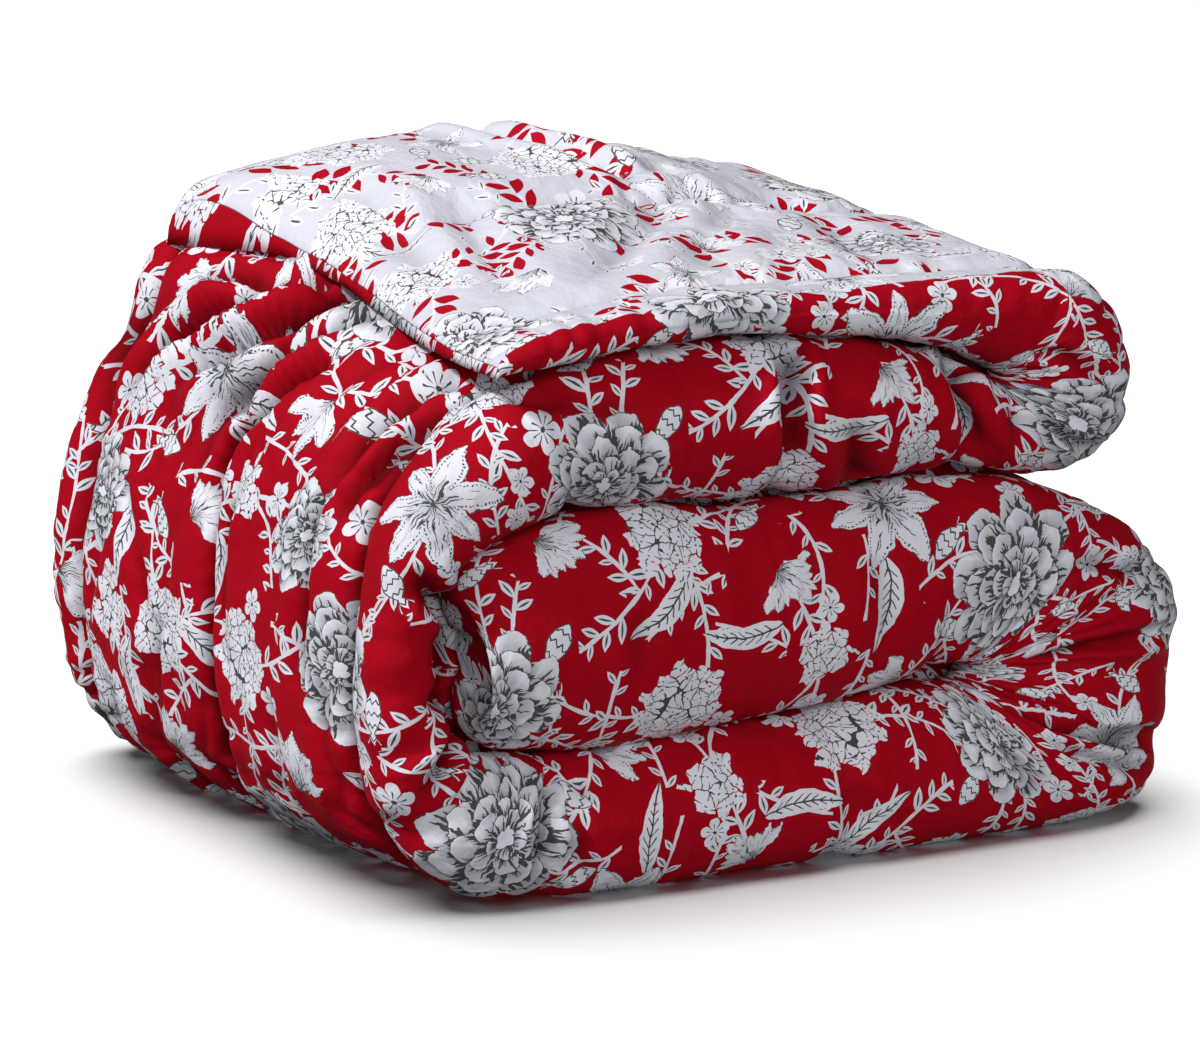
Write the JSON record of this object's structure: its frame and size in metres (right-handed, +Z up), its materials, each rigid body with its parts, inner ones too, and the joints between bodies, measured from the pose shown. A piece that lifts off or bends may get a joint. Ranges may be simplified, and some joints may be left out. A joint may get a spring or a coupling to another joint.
{
  "type": "razai",
  "caption": "Thick filled and quilted razai, folded into a strip and then back and forth into a plump bundle, its flap turned to show the pale reverse cloth.",
  "frame": {"origin": "middle of the bundle's footprint, on the surface that it rests on", "axes": "+Z up, +X to the right along the front of the bundle, where the rolled folds show, +Y from the front to the back"},
  "size_m": [0.6399, 0.556, 0.4439],
  "materials": {
    "face_cloth": "soft cotton percale, crimson ground with pale floral print and dark line work",
    "reverse_cloth": "soft cotton percale, pale lilac-grey ground with white flowers, dark line work and small red leaves"
  },
  "bodies": {
    "root": {"quilt_body": "face_cloth", "reverse_panel": "reverse_cloth"}
  },
  "joints": []
}
